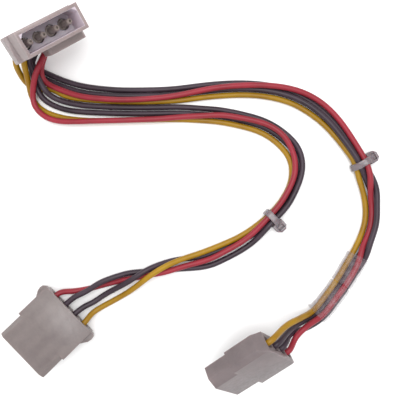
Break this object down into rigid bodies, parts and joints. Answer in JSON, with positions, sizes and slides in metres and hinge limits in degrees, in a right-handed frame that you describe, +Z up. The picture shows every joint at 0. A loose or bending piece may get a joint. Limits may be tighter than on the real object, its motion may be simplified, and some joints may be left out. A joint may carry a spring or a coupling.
{
  "type": "drive power splitter cable",
  "caption": "Splitter power cable: a pin connector feeds two socket connectors over two bundles of insulated wires held with ties and tape.",
  "frame": {"origin": "on the surface that the cable lies on, under the middle of the box round the three connectors", "axes": "+Z up from the surface; +Y from the two socket connectors towards the pin connector; +X towards the wires' bends"},
  "size_m": [0.145, 0.1452, 0.036],
  "materials": {
    "nylon": "translucent natural nylon",
    "contact": "dull tin plate",
    "yellow_wire": "soft sheen",
    "black_wire": "soft sheen",
    "red_wire": "soft sheen",
    "tie": "translucent natural nylon",
    "tape": "clear film"
  },
  "bodies": {
    "root": {"input_housing": "nylon", "input_pin_1": "contact", "input_pin_2": "contact", "input_pin_3": "contact", "input_pin_4": "contact", "eared_housing": "nylon", "eared_contact_1": "contact", "eared_contact_2": "contact", "eared_contact_3": "contact", "eared_contact_4": "contact", "plain_housing": "nylon", "plain_contact_1": "contact", "plain_contact_2": "contact", "plain_contact_3": "contact", "plain_contact_4": "contact", "wire_yellow_eared": "yellow_wire", "wire_black_eared_1": "black_wire", "wire_black_eared_2": "black_wire", "wire_red_eared": "red_wire", "wire_yellow_plain": "yellow_wire", "wire_black_plain_1": "black_wire", "wire_black_plain_2": "black_wire", "wire_red_plain": "red_wire", "cable_tie_eared": "tie", "cable_tie_plain": "tie", "tape_wrap_1": "tape", "tape_wrap_2": "tape"}
  },
  "joints": []
}
